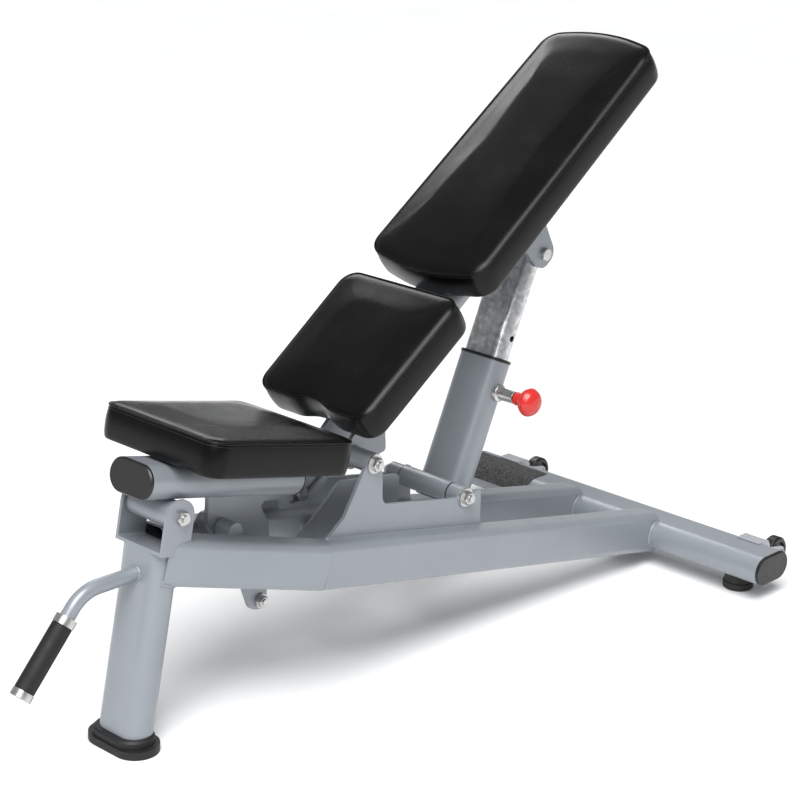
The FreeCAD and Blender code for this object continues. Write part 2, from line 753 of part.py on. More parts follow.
# ---- transport wheels: bracket, axle and wheel on each side
WHEEL_SIDES = ((LEFT, "left"), (RIGHT, "right"))
WHEEL_HALF = S.wheel_width / 2
BRACKET_WIDE, CHEEK = 44.0, 4.0
brackets, axles = [], []
AXLE_R = 4.0
for side, tag in WHEEL_SIDES:
    wheel_y = side * S.wheel_y - 3
    hub = Placement(at(S.wheelbase + S.wheel_x, wheel_y, S.wheel_z), Rotation())
    frame_at = Placement(at(S.wheelbase, wheel_y, S.cross_tube_height), Rotation())
    wx, wz = S.wheel_x, S.wheel_z - S.cross_tube_height
    arm = new_body("wheel_arm_" + tag, frame_at)
    arm_side = new_sketch(arm, "XZ_Plane")
    add_loop(arm_side, [(16, 28, 1), (44, 28, 10), (58, 6, 6), (wx + 8, wz + 11, 10),
                        (wx + 8, wz - 11, 10), (wx - 8, wz - 11, 4), (46, -16, 2), (30, 0)])
    pad(arm, arm_side, str(BRACKET_WIDE), symmetric=True)
    opening = new_sketch(arm, "XY_Plane")
    gap = WHEEL_HALF + 1.5
    for low, high in ((-gap, gap), (gap + CHEEK, BRACKET_WIDE), (-BRACKET_WIDE, -gap - CHEEK)):
        add_loop(opening, [(51, low), (150, low), (150, high), (51, high)])
    pocket_through(arm, opening)
    axle_hole = rod("axle_hole_" + tag, across(hub, 0, 0, -40), "%s + run_gap" % AXLE_R, "80")
    brackets.append(cut("wheel_bracket_" + tag, arm, [cross_bar, axle_hole]))
    reach = gap + CHEEK
    shank = rod("axle_shank_" + tag, across(hub, 0, 0, -reach), str(AXLE_R), str(2 * reach))
    heads = [turned("axle_head_%s_%d" % (tag, s), outward(hub, s, 0, 0, reach),
                    [(0, 0), (7, 0), (6.4, 2.5, 1), (4, 4, 1), (0, 4)]) for s in (LEFT, RIGHT)]
    axles.append(fuse("axle_" + tag, [shank] + heads))
    node("wheel_" + tag, turned("wheel_body_" + tag, across(hub, 0, 0, 0), [
        (AXLE_R + S.run_gap, -WHEEL_HALF), (9, -WHEEL_HALF), (9, -WHEEL_HALF + 4),
        (18, -WHEEL_HALF + 4), (18, -WHEEL_HALF), (23, -WHEEL_HALF), (26, -WHEEL_HALF + 3, 2),
        (26, WHEEL_HALF - 3, 2), (23, WHEEL_HALF), (18, WHEEL_HALF), (18, WHEEL_HALF - 4),
        (9, WHEEL_HALF - 4), (9, WHEEL_HALF), (AXLE_R + S.run_gap, WHEEL_HALF)]))
node("wheel_brackets", group("wheel_bracket_pair", brackets))
node("wheel_axles", group("wheel_axle_pair", axles))


# ================================================================ seat
seat_up = S.seat_tube_rise
SEAT_TUBE = aligned(SEAT.multVec(Vector(S.seat_tube_start + CAP_HEAD, 0, seat_up)),
                    SEAT.Rotation.multVec(Vector(1, 0, 0)), Vector(0, 1, 0))
seat_barrel = rod("seat_barrel", across(SEAT, 0, 0, -60), "seat_pivot_radius", "120")
seat_tube = oval_tube("seat_tube_body", SEAT_TUBE, "seat_tube_length - %s" % (2 * CAP_HEAD))
node("seat_tube", cut("seat_tube_coped", seat_tube, [seat_barrel]))
seat_run = S.seat_tube_length - 2 * CAP_HEAD
node("seat_tube_caps", group("seat_caps", [
    tube_cap("seat_cap_rear", moved(SEAT_TUBE, 0, 0, seat_run)),
    tube_cap("seat_cap_front", moved(SEAT_TUBE, 0, 0, 0, UPSIDE_DOWN))]))


def bush_pair(name, centre, half, bore, outer):
    """Two flanged bushes pressed into the ends of a pivot tube."""
    pieces = []
    for side in (LEFT, RIGHT):
        pieces.append(turned("%s_%d" % (name, side + 1), outward(centre, side, 0, 0, half), [
            (value_of(bore), -14), (value_of(outer), -14), (value_of(outer), 0),
            (value_of(outer) + 2.4, 0), (value_of(outer) + 2.4, S.bush_flange),
            (value_of(bore), S.bush_flange)]))
    return group(name, pieces)


SEAT_HALF = HALF_INNER - S.bush_flange - 0.3
node("seat_pivot_tube", ring("seat_pivot_ring", across(SEAT, 0, 0), "seat_pivot_radius",
                             "seat_pivot_radius - 4", str(2 * SEAT_HALF)))
node("seat_pivot_bushes", bush_pair("seat_bushes", SEAT, SEAT_HALF, "bolt_radius + run_gap",
                                    "seat_pivot_radius - 4"))

SEAT_TOP = seat_up + S.tube_thick / 2
PAD_BAR = S.bar_thick
SEAT_PAD_BOTTOM = SEAT_TOP + PAD_BAR
SCREW_OFF = 58.0
SCREW_R = 3.0


def pad_outline(start, length, width_low, width_high, radius, inset=0.0, notch=0.0):
    """A cushion outline in plan: start edge narrow or wide, corners rounded, optional hollow."""
    low, high = width_low / 2 - inset, width_high / 2 - inset
    first, last = start + inset, start + length - inset
    corners = [(first, -low, radius - inset), (last, -high, radius - inset),
               (last, high, radius - inset), (first, low, radius - inset)]
    if notch:
        corners += [(first, 40, 60), (first + notch, 14, 60), (first + notch, -14, 60),
                    (first, -40, 60)]
    return corners


def cushion(name, axes, bottom, outline, board, thick, screws):
    """A padded top with a broken edge, its plywood board let into the underside."""
    body = new_body(name, moved(axes, 0, 0, bottom))
    plan = new_sketch(body)
    add_loop(plan, outline)
    pad(body, plan, thick)
    chamfer_top(body, 7.0)
    ply = plate(name + "_board", moved(axes, 0, 0, bottom), board, "board_thick", "XY_Plane", False)
    ply_space = plate(name + "_board_space", moved(axes, 0, 0, bottom), board, "board_thick",
                      "XY_Plane", False)
    drill = [rod("%s_drill_%d" % (name, i), moved(axes, x, y, bottom), str(SCREW_R), "10")
             for i, (x, y) in enumerate(screws)]
    return cut(name + "_pad", body, [ply_space]), cut(name + "_ply", ply, drill)


def mounting_bars(name, axes, below, stations, along=34.0):
    """Flat bars across a tube that carry a board, with screw holes near their ends."""
    bars, screws, places = [], [], []
    for i, x in enumerate(stations):
        ends = SCREW_OFF + 14
        holes = [(0, s * SCREW_OFF, "%s + 0.05" % SCREW_R) for s in (LEFT, RIGHT)]
        bars.append(plate("%s_%d" % (name, i), moved(axes, x, 0, below), [
            (-along / 2, -ends, 5), (along / 2, -ends, 5), (along / 2, ends, 5),
            (-along / 2, ends, 5)], "bar_thick", "XY_Plane", False, holes))
        for s in (LEFT, RIGHT):
            places.append((x, s * SCREW_OFF))
            at_screw = moved(axes, x, s * SCREW_OFF, below)
            shank = rod("%s_shank_%d_%d" % (name, i, s + 1), at_screw, str(SCREW_R),
                        "%s" % (PAD_BAR + 10))
            head = turned("%s_head_%d_%d" % (name, i, s + 1), moved(at_screw, rotation=UPSIDE_DOWN),
                          [(0, 0), (6.5, 0), (5.5, 2.5, 1), (3, 3.6, 1), (0, 3.6)])
            screws.append(fuse("%s_screw_%d_%d" % (name, i, s + 1), [shank, head]))
    return bars, screws, places


seat_bars, seat_screws, seat_places = mounting_bars("seat_bar", SEAT, SEAT_TOP, (45.0, 190.0))
seat_shape = (S.seat_pad_start, S.seat_pad_length, S.seat_pad_front, S.seat_pad_rear,
              S.seat_pad_corner)
seat_outline = pad_outline(*seat_shape)
seat_board = pad_outline(*seat_shape, inset=9.0)
seat_cushion, seat_ply = cushion("seat_foam", SEAT, SEAT_PAD_BOTTOM, seat_outline, seat_board,
                                 "pad_thick", seat_places)
node("seat_cushion", seat_cushion)
node("seat_board", seat_ply)
node("seat_mounts", group("seat_bars", seat_bars))
node("seat_screws", group("seat_screw_set", seat_screws))

# ---- seat drive: the lever pin on the backrest runs in a cam slot of this plate
FULL_SWEEP = 60.0
CAM_DWELL = 8.0  # the pin hardly moves along the slot below this angle
SEAT_RATIO = S.seat_tilt / S.back_angle
PIVOT_GAP_X = S.back_pivot_x + BOOT_X - SEAT.Base.x
PIVOT_GAP_Z = S.back_pivot_z - SEAT.Base.z


def cam_point(back_angle):
    """Where the lever pin is in the seat's axes when the backrest stands at this angle."""
    turn = math.radians(S.lever_angle + back_angle)
    x = PIVOT_GAP_X + S.lever_reach * math.cos(turn)
    z = PIVOT_GAP_Z + S.lever_reach * math.sin(turn)
    tilt = math.radians(back_angle * SEAT_RATIO)
    return Vector(x * math.cos(tilt) - z * math.sin(tilt), x * math.sin(tilt) + z * math.cos(tilt), 0)


def cam_slot(sketch, half_width, steps=10, margin=1.5):
    """The slot's outline: two curves beside the pin's path, closed by round ends."""
    span = FULL_SWEEP + margin - CAM_DWELL
    path_points = [cam_point(CAM_DWELL + span * i / steps) for i in range(steps + 1)]
    lead_in = (path_points[1] - path_points[0]).normalize()
    path_points[0] = path_points[0] - lead_in * 1.2
    sides = {1: [], -1: []}
    headings = []
    for i, here in enumerate(path_points):
        before = path_points[max(i - 1, 0)]
        after = path_points[min(i + 1, steps)]
        along = (after - before).normalize()
        headings.append(along)
        for s in sides:
            sides[s].append(here + Vector(-along.y, along.x, 0) * (half_width * s))
    for s in sides:
        curve = Part.BSplineCurve()
        curve.interpolate(sides[s])
        sketch.addGeometry(curve)
    for end, sign in ((0, -1), (-1, 1)):
        tip = path_points[end] + headings[end] * (half_width * sign)
        sketch.addGeometry(Part.Arc(sides[1][end], tip, sides[-1][end]))


def seat_point(x, z):
    """A point measured from the boot, in the seat's axes at rest."""
    local = SEAT.inverse().multVec(at(x, 0, z))
    return local.x, local.z


TUBE_FLOOR = SEAT_TOP - S.tube_thick
D_X, D_Z = seat_point(256.5, 145.4)
GUIDE_THICK = 8.0
guide = new_body("guide_body", SEAT)
guide_side = new_sketch(guide, "XZ_Plane")
add_loop(guide_side, [
    (89, TUBE_FLOOR), (98.7, -30, 10), (168, -92, 60), (D_X - 16, D_Z - 14, 14),
    (D_X + 16, D_Z - 14, 14), (222, -33, 20), (190, 5, 8), (236, 5, 4), (241, -9, 6),
    (290, -9, 20), (334, 36, 14), (318, 52, 12), (262, 30, 10), (250, TUBE_FLOOR - 4, 4),
    (230, TUBE_FLOOR)])
pad(guide, guide_side, str(GUIDE_THICK), symmetric=True)
slot = new_sketch(guide, "XZ_Plane")
cam_slot(slot, S.cam_pin_radius + S.cam_slot_gap)
pocket_through(guide, slot)
bolt_eye = new_sketch(guide, "XZ_Plane")
add_circle(bolt_eye, "5 + run_gap", D_X, D_Z)
pocket_through(guide, bolt_eye)
node("seat_guide_plate", guide)

GUIDE_BOLT = moved(SEAT, D_X, 0, D_Z)
stop_shank = rod("stop_shank", across(GUIDE_BOLT, 0, 0, -17), "5", "34")
stop_spool = [ring("stop_washer_%d" % (s + 1), across(GUIDE_BOLT, 0, 0, s * (GUIDE_THICK / 2 + 2)),
                   "11", "5", "4") for s in (LEFT, RIGHT)]
stop_hex = [hexagon("stop_hex_%d" % (s + 1), outward(GUIDE_BOLT, s, 0, 0, GUIDE_THICK / 2 + 4),
                    16.0, 7.0) for s in (LEFT, RIGHT)]
node("guide_plate_bolt", fuse("stop_bolt", [stop_shank] + stop_spool + stop_hex))


# ================================================================ backrest
SPINE_N = S.pad_seat_gap - S.bar_thick - S.spine_thick / 2
SPINE = aligned(BACK.multVec(Vector(S.spine_start, 0, SPINE_N)),
                BACK.Rotation.multVec(Vector(1, 0, 0)), Vector(0, 1, 0))
spine_bar = oval_bar("spine_bar", SPINE, "spine_length", "spine_wide", "spine_thick")
spine_tube = oval_tube("spine_tube", moved(SPINE, 0, 0, CAP_HEAD),
                       "spine_length - %s" % (2 * CAP_HEAD), "spine_wide", "spine_thick")
node("back_tube", spine_tube)
node("back_tube_caps", group("spine_caps", [
    tube_cap("spine_cap_top", moved(SPINE, 0, 0, S.spine_length - CAP_HEAD), "spine_wide",
             "spine_thick"),
    tube_cap("spine_cap_low", moved(SPINE, 0, 0, CAP_HEAD, UPSIDE_DOWN), "spine_wide",
             "spine_thick")]))
BACK_HALF = S.pivot_half
back_barrel = rod("back_barrel", across(BACK, 0, 0, -60), "pivot_radius", "120")
node("back_pivot_tube", ring("back_pivot_ring", across(BACK, 0, 0), "pivot_radius",
                             "pivot_radius - 4", "2 * pivot_half"))
node("back_pivot_bushes", bush_pair("back_bushes", BACK, BACK_HALF, "bolt_radius + run_gap",
                                    "pivot_radius - 4"))

ARM_THICK, ARM_Y = 7.0, 30.5
arms = []
for side, tag in ((LEFT, "left"), (RIGHT, "right")):
    blank = plate("arm_" + tag, moved(BACK, 0, side * ARM_Y, 0), [
        (-20, -14, 14), (6, -26, 10), (53, -49, 6), (68, -25, 6), (93, 5, 10), (150, 12, 10),
        (150, 30), (60, 30), (40, 26, 12), (-14, 20, 14)], str(ARM_THICK))
    arms.append(cut("arm_%s_cut" % tag, blank, [spine_bar, back_barrel]))
node("back_arms", group("arm_pair", arms))

# ---- lever and pin that drive the seat
LEVER_Y, LEVER_THICK = 9.0, 8.0
lever_turn = math.radians(S.lever_angle)
PIN_T = S.lever_reach * math.cos(lever_turn)
PIN_N = S.lever_reach * math.sin(lever_turn)
lever = plate("lever_blank", moved(BACK, 0, LEVER_Y, 0), [
    (PIN_T - 13, PIN_N - 13, 12.5), (PIN_T + 6, PIN_N - 13, 4), (12, -25, 20), (26, 0, 20),
    (12, 25, 20), (PIN_T + 6, PIN_N + 13, 4), (PIN_T - 13, PIN_N + 13, 12.5)], str(LEVER_THICK),
    holes=[(PIN_T, PIN_N, "cam_pin_radius")])
node("lever_plate", cut("lever_cut", lever, [back_barrel]))
PIN = moved(BACK, PIN_T, 0, PIN_N)
pin_back = LEVER_Y + LEVER_THICK / 2
pin_front = GUIDE_THICK / 2 + 0.4
pin_head = turned("lever_pin_head", across(PIN, 0, 0, pin_back), [
    (0, 0), (9, 0), (9, 3, 1), (0, 3)])
pin_shank = rod("lever_pin_shank", across(PIN, 0, 0, -pin_front), "cam_pin_radius",
                str(pin_front + pin_back))
pin_keeper = rod("lever_pin_keeper", across(PIN, 0, 0, -pin_front - 3), "10", "3")
node("lever_pin", fuse("lever_pin_body", [pin_head, pin_shank, pin_keeper]))

# ---- pads
bar_floor = S.pad_seat_gap - S.bar_thick
back_bars, back_screws, back_places = mounting_bars("back_bar", BACK, bar_floor,
                                                    (100.0, 215.0, 360.0, 620.0))
node("back_crossbars", group("back_bar_set", back_bars))
node("back_screws", group("back_screw_set", back_screws))
PAD_CORNER = 28.0
lumbar_shape = (S.lumbar_start, S.lumbar_length, S.lumbar_width - 2, S.lumbar_width + 6)
lumbar_pad, lumbar_ply = cushion(
    "lumbar_foam", BACK, S.pad_seat_gap, pad_outline(*lumbar_shape, PAD_CORNER, notch=9.0),
    pad_outline(*lumbar_shape, PAD_CORNER, inset=12.0), "pad_thick",
    [p for p in back_places if p[0] < S.lumbar_start + S.lumbar_length])
node("lumbar_cushion", lumbar_pad)
back_shape = (S.back_start, S.back_length, S.back_width_low, S.back_width_top)


def back_corners(inset):
    """The main pad's plan: both ends bow outward."""
    start, length, low, high = back_shape
    first, last = start + inset, start + length - inset
    half_low, half_high = low / 2 - inset, high / 2 - inset
    corner, bow = S.back_corner - inset, S.back_bow
    arc = S.back_bow_radius - inset
    return [(first - bow, 0, arc), (first, -half_low, corner), (last, -half_high, corner),
            (last + bow, 0, arc), (last, half_high, corner), (first, half_low, corner)]


back_pad, back_ply = cushion("back_foam", BACK, S.pad_seat_gap, back_corners(0.0), back_corners(10.0),
                             "pad_thick", [p for p in back_places if p[0] > S.back_start])
node("back_cushion", back_pad)
node("back_boards", group("back_board_pair", [lumbar_ply, back_ply]))

# ---- ears that take the strut's upper eye
EAR_IN, EAR_THICK = 43.6, 6.0
EAR_T, EAR_N = S.strut_ear_along, -S.strut_ear_below
ears, ear_bolts = [], []
for side, tag in ((LEFT, "left"), (RIGHT, "right")):
    blank = plate("ear_" + tag, moved(BACK, 0, side * (EAR_IN + EAR_THICK / 2), 0), [
        (EAR_T - 21, EAR_N - 21, 20.5), (EAR_T + 21, EAR_N - 21, 20.5), (EAR_T + 34, 30, 10),
        (EAR_T + 30, 44, 6), (EAR_T - 30, 44, 6), (EAR_T - 34, 30, 10)], str(EAR_THICK),
        holes=[(EAR_T, EAR_N, "bolt_radius")])
    ears.append(cut("ear_%s_cut" % tag, blank, [spine_bar]))
    ear_at = moved(BACK, EAR_T, 0, EAR_N)
    stub = rod("ear_stub_" + tag, outward(ear_at, side, 0, 0, EAR_IN), "bolt_radius",
               str(EAR_THICK))
    cap = hexagon("ear_hex_" + tag, outward(ear_at, side, 0, 0, EAR_IN + EAR_THICK), FLATS, HEAD)
    ear_bolts.append(fuse("ear_bolt_" + tag, [stub, cap]))
node("strut_ears", group("ear_pair", ears))
node("strut_top_bolt", group("ear_bolt_pair", ear_bolts))


# ================================================================ telescoping strut
STRUT_Y = moved(STRUT, rotation=QUARTER_TURN)
strut_barrel = rod("strut_barrel", across(STRUT_FOOT, 0, 0, -60), "strut_pivot_radius", "120")
PIN_SIDE = moved(STRUT, 0, 0, S.pin_height)
half_wide = S.tube_wide / 2
pin_bore = rod("pin_bore", outward(PIN_SIDE, LEFT, 0, 0, 20), "pin_radius + run_gap", "60")
sleeve = oval_tube("sleeve_body", moved(STRUT_Y, 0, 0, -S.sleeve_below),
                   "sleeve_below + sleeve_above")
BUSH_RADIUS = 2.0
bush_screw_at = [moved(STRUT, 0, 0, S.sleeve_above - 12)]
screw_bores = [rod("bush_screw_bore", moved(bush_screw_at[0], 18, 0, 0,
                                            Rotation(Vector(0, 1, 0), 90)), str(BUSH_RADIUS), "12")]
node("strut_sleeve", cut("sleeve_cut", sleeve, [strut_barrel, pin_bore] + screw_bores))
node("strut_pivot_tube", ring("strut_pivot_ring", across(STRUT_FOOT, 0, 0), "strut_pivot_radius",
                              "strut_pivot_radius - 4", "2 * strut_pivot_half"))
node("strut_pivot_bushes", bush_pair("strut_bushes", STRUT_FOOT, S.strut_pivot_half,
                                     "bolt_radius + run_gap", "strut_pivot_radius - 4"))

BUSH_DEEP = 30.0
liner = oval_bar("liner_body", moved(STRUT_Y, 0, 0, S.sleeve_above - BUSH_DEEP), str(BUSH_DEEP),
                 "tube_wide - 2 * tube_wall", "tube_thick - 2 * tube_wall")
rim = oval_bar("liner_rim", moved(STRUT_Y, 0, 0, S.sleeve_above), "5", "tube_wide + 2",
               "tube_thick + 2")
liner_bore = oval_bar("liner_bore", moved(STRUT_Y, 0, 0, S.sleeve_above - 50), "100",
                      "inner_wide + 2 * run_gap", "inner_thick + 2 * run_gap")
node("sleeve_bush", cut("liner_cut", fuse("liner_joined", [liner, rim]), [liner_bore, screw_bores[0]]))
screw_axis = moved(bush_screw_at[0], 0, 0, 0, Rotation(Vector(0, 1, 0), 90))
node("bush_screw", fuse("bush_screw_body", [
    rod("bush_screw_shank", moved(screw_axis, 0, 0, S.inner_thick / 2 + 1), str(BUSH_RADIUS), "4"),
    turned("bush_screw_head", moved(screw_axis, 0, 0, S.tube_thick / 2), [
        (0, 0), (4.5, 0), (4, 2, 0.8), (0, 2.6)])]))

# ---- inner tube with its row of holes and its eye
eye_barrel = rod("eye_barrel", across(moved(STRUT, 0, 0, STRUT_REACH), 0, 0, -60), "pivot_radius",
                 "120")
holes = [rod("hole_%d" % i, outward(moved(STRUT, 0, 0, S.pin_height + (i - 3) * S.hole_pitch),
                                    LEFT, 0, 0, 30), "hole_radius", "20") for i in range(6)]
inner = oval_tube("inner_body", moved(STRUT_Y, 0, 0, STRUT_REACH - S.inner_length),
                  "inner_length - 8", "inner_wide", "inner_thick", "inner_wall")
node("strut_inner_tube", cut("inner_cut", inner, [eye_barrel] + holes))
EYE_HALF = EAR_IN - 0.6
eye = ring("eye_ring", across(moved(STRUT, 0, 0, STRUT_REACH), 0, 0), "pivot_radius",
           "bolt_radius + 0.3", str(2 * EYE_HALF))
node("strut_eye", eye)

# ---- spring pull pin on the near side of the sleeve
HOUSING = 37.0
PIN_AXIS = outward(PIN_SIDE, LEFT, 0, 0, half_wide)
node("pin_housing", turned("housing_body", PIN_AXIS, [
    (S.pin_radius + S.run_gap, 0), (14, 0), (14, 6, 2), (10, 8), (10, HOUSING, 0.8),
    (S.pin_radius + S.run_gap, HOUSING), (S.pin_radius + S.run_gap, HOUSING - 5),
    (8, HOUSING - 5), (8, 5), (S.pin_radius + S.run_gap, 5)]))
TIP_CLEAR = 0.4
tip_in = half_wide - S.inner_wide / 2 - TIP_CLEAR
collar_at = 9.0
node("pull_pin", turned("pin_body", PIN_AXIS, [
    (0, -tip_in), (S.pin_radius - 1, -tip_in), (S.pin_radius, -tip_in + 1), (S.pin_radius, 5.4),
    (7.6, 5.4), (7.6, collar_at), (S.pin_radius, collar_at), (S.pin_radius, HOUSING + 22),
    (0, HOUSING + 22)]))
KNOB_BASE = HOUSING + 3.0
KNOB_R = S.knob_radius
node("pull_knob", turned("knob_body", PIN_AXIS, [
    (S.pin_radius, KNOB_BASE), (11, KNOB_BASE, 1), (9.5, KNOB_BASE + 12, 6),
    (KNOB_R - 4, KNOB_BASE + 18, 4), (KNOB_R, KNOB_BASE + 26, 7), (KNOB_R - 6, KNOB_BASE + 40, 16),
    (0, KNOB_BASE + 43), (0, HOUSING + 22), (S.pin_radius, HOUSING + 22)]))
COILS, COIL_RADIUS, WIRE_RADIUS = 7, 6.4, 0.6
spring_floor = collar_at + WIRE_RADIUS + 0.1
spring_roof = HOUSING - 5 - WIRE_RADIUS - 0.1
coils = []
for i in range(COILS):
    coil = doc.addObject("Part::Torus", "coil_%d" % i)
    coil.Radius1, coil.Radius2 = COIL_RADIUS, WIRE_RADIUS
    coil.Placement = moved(PIN_AXIS, 0, 0, spring_floor + i * (spring_roof - spring_floor) / (COILS - 1))
    coils.append(coil)
node("pin_spring", group("spring_coils", coils))


# ================================================================ write the pieces
doc.recompute()
for label, obj in NODES.items():
    bad = [o.Name for o in [obj] + obj.OutListRecursive if "Invalid" in o.State or "Error" in o.State]
    if bad or obj.Shape.isNull() or not obj.Shape.isValid():
        raise RuntimeError("%s: %s %s" % (label, bad, obj.State))
    obj.Shape.exportStep("parts/%s.step" % label)
    box = obj.Shape.BoundBox
    print("%-20s solids %d volume %9.0f  x %7.1f..%7.1f y %7.1f..%7.1f z %7.1f..%7.1f" % (
        label, len(obj.Shape.Solids), obj.Shape.Volume, box.XMin, box.XMax, box.YMin, box.YMax,
        box.ZMin, box.ZMax))
print(len(NODES), "pieces")
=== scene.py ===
"""Looks of the adjustable weight bench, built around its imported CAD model."""
import json
import math

import bmesh
import bpy
from mathutils import Matrix, Vector
from mathutils.bvhtree import BVHTree


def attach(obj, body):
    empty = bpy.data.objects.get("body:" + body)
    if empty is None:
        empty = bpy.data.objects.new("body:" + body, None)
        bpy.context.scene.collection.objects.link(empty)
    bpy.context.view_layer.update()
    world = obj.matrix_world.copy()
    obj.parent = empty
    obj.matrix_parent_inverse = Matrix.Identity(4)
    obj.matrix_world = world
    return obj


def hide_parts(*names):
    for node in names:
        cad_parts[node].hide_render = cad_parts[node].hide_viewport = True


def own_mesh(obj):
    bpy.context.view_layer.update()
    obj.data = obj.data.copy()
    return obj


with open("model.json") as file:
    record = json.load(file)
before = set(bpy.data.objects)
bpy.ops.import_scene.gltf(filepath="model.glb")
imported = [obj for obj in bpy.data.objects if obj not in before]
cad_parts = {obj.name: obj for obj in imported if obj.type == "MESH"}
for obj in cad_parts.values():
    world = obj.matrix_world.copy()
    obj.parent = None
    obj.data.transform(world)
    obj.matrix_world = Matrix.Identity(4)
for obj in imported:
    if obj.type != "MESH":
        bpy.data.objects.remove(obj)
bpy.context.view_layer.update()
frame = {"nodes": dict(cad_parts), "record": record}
NODES = frame["nodes"]
RECORD = frame["record"]
JOINTS = {joint["name"]: joint for joint in RECORD["behaviour"]["joints"]}
scene = bpy.context.scene
MM = 0.001


# ---------------------------------------------------------------- camera
CAMERA_AT = Vector((-2.2235, -2.1035, 1.4111))
CAMERA_HEADING, CAMERA_PITCH, CAMERA_ROLL = 43.113, 18.323, 1.749
CAMERA_LENS, SENSOR_WIDTH = 94.7, 36.0


def make_camera():
    data = bpy.data.cameras.new("camera")
    data.lens = CAMERA_LENS
    data.sensor_width = SENSOR_WIDTH
    data.dof.use_dof = False
    camera = bpy.data.objects.new("camera", data)
    scene.collection.objects.link(camera)
    heading, pitch = math.radians(CAMERA_HEADING), math.radians(CAMERA_PITCH)
    look = Vector((math.cos(heading) * math.cos(pitch), math.sin(heading) * math.cos(pitch),
                   -math.sin(pitch)))
    turn = look.to_track_quat("-Z", "Y").to_matrix()
    camera.rotation_mode = "QUATERNION"
    roll = Matrix.Rotation(math.radians(CAMERA_ROLL), 3, "Z")
    camera.rotation_quaternion = (turn @ roll).to_quaternion()
    camera.location = CAMERA_AT
    scene.camera = camera


make_camera()


# ---------------------------------------------------------------- material building blocks
class Look:
    """A node material around one principled shader."""

    def __init__(self, name, **sockets):
        self.material = bpy.data.materials.new(name)
        self.material.use_nodes = True
        self.tree = self.material.node_tree
        self.shader = self.tree.nodes["Principled BSDF"]
        for socket, value in sockets.items():
            self.shader.inputs[socket.replace("_", " ")].default_value = value
        self.coords = self.tree.nodes.new("ShaderNodeTexCoord").outputs["Object"]

    def add(self, kind, **settings):
        node = self.tree.nodes.new(kind)
        for name, value in settings.items():
            if name in node.inputs:
                node.inputs[name].default_value = value
            else:
                setattr(node, name, value)
        return node

    def link(self, source, target):
        self.tree.links.new(source, target)

    def noise(self, scale, detail=3.0, stretch=None):
        node = self.add("ShaderNodeTexNoise", Scale=scale, Detail=detail)
        self.link(self.placed(stretch), node.inputs["Vector"])
        return node.outputs["Fac"]

    def cells(self, scale, feature="F1", output="Distance", stretch=None):
        node = self.add("ShaderNodeTexVoronoi", Scale=scale)
        node.feature = feature
        self.link(self.placed(stretch), node.inputs["Vector"])
        return node.outputs[output]

    def placed(self, stretch):
        if stretch is None:
            return self.coords
        node = self.add("ShaderNodeMapping")
        node.inputs["Scale"].default_value = stretch
        self.link(self.coords, node.inputs["Vector"])
        return node.outputs["Vector"]

    def mapped(self, source, low, high, from_low=0.3, from_high=0.7):
        node = self.add("ShaderNodeMapRange")
        for name, value in (("From Min", from_low), ("From Max", from_high), ("To Min", low),
                            ("To Max", high)):
            node.inputs[name].default_value = value
        self.link(source, node.inputs["Value"])
        return node.outputs["Result"]

    def sum_of(self, first, second):
        node = self.add("ShaderNodeMath")
        node.operation = "ADD"
        self.link(first, node.inputs[0])
        self.link(second, node.inputs[1])
        return node.outputs["Value"]

    def colours(self, source, first, second, from_low=0.3, from_high=0.7):
        ramp = self.add("ShaderNodeValToRGB")
        ramp.color_ramp.elements[0].position = from_low
        ramp.color_ramp.elements[0].color = (*first, 1)
        ramp.color_ramp.elements[1].position = from_high
        ramp.color_ramp.elements[1].color = (*second, 1)
        self.link(source, ramp.inputs["Fac"])
        self.link(ramp.outputs["Color"], self.shader.inputs["Base Color"])

    def rough(self, source, low, high):
        self.link(self.mapped(source, low, high), self.shader.inputs["Roughness"])

    def bump(self, heights):
        """heights: (output, strength, distance in metres) from coarse to fine."""
        last = None
        for source, strength, distance in heights:
            node = self.add("ShaderNodeBump", Strength=strength, Distance=distance)
            self.link(source, node.inputs["Height"])
            if last is not None:
                self.link(last, node.inputs["Normal"])
            last = node.outputs["Normal"]
        self.link(last, self.shader.inputs["Normal"])


def grey(level, tint=0.0):
    return (level, level, level * (1 + tint))


# ---------------------------------------------------------------- the bench's materials
STRUT_AXIS = JOINTS["strut_slide"]["axis"]
STRUT_LEAN = math.atan2(STRUT_AXIS[0], STRUT_AXIS[2])
STREAK_LENGTH = 14.0


def paint_look(name, colour):
    """Satin powder coat: a fine orange peel and faint handling marks."""
    look = Look(name, Roughness=0.38, Metallic=0.25, Coat_Weight=0.25, Coat_Roughness=0.22)
    look.colours(look.noise(9.0, 4.0), tuple(c * 0.965 for c in colour),
                 tuple(c * 1.02 for c in colour))
    look.rough(look.noise(38.0, 5.0), 0.33, 0.45)
    look.bump([(look.noise(420.0, 2.0), 0.10, 0.0004), (look.noise(1500.0, 1.0), 0.05, 0.0002)])
    return look.material


def vinyl_look():
    """Black upholstery vinyl with a pebbled grain, slightly polished where it is used."""
    look = Look("vinyl", Roughness=0.26, Specular_IOR_Level=0.22)
    look.colours(look.noise(6.0, 4.0), grey(0.0015, 0.03), grey(0.003, 0.03))
    look.rough(look.noise(14.0, 4.0), 0.20, 0.30)
    grain = look.cells(620.0, "F1", "Distance")
    crease = look.cells(260.0, "DISTANCE_TO_EDGE", "Distance")
    look.bump([(look.noise(26.0, 3.0), 0.05, 0.002), (crease, 0.08, 0.0004),
               (grain, 0.24, 0.0004)])
    return look.material


def zinc_look():
    look = Look("zinc", Metallic=1.0, Roughness=0.32)
    look.colours(look.noise(60.0, 3.0), (0.52, 0.52, 0.50), (0.66, 0.66, 0.65))
    look.rough(look.noise(150.0, 3.0), 0.25, 0.42)
    look.bump([(look.noise(900.0, 2.0), 0.06, 0.0002)])
    return look.material


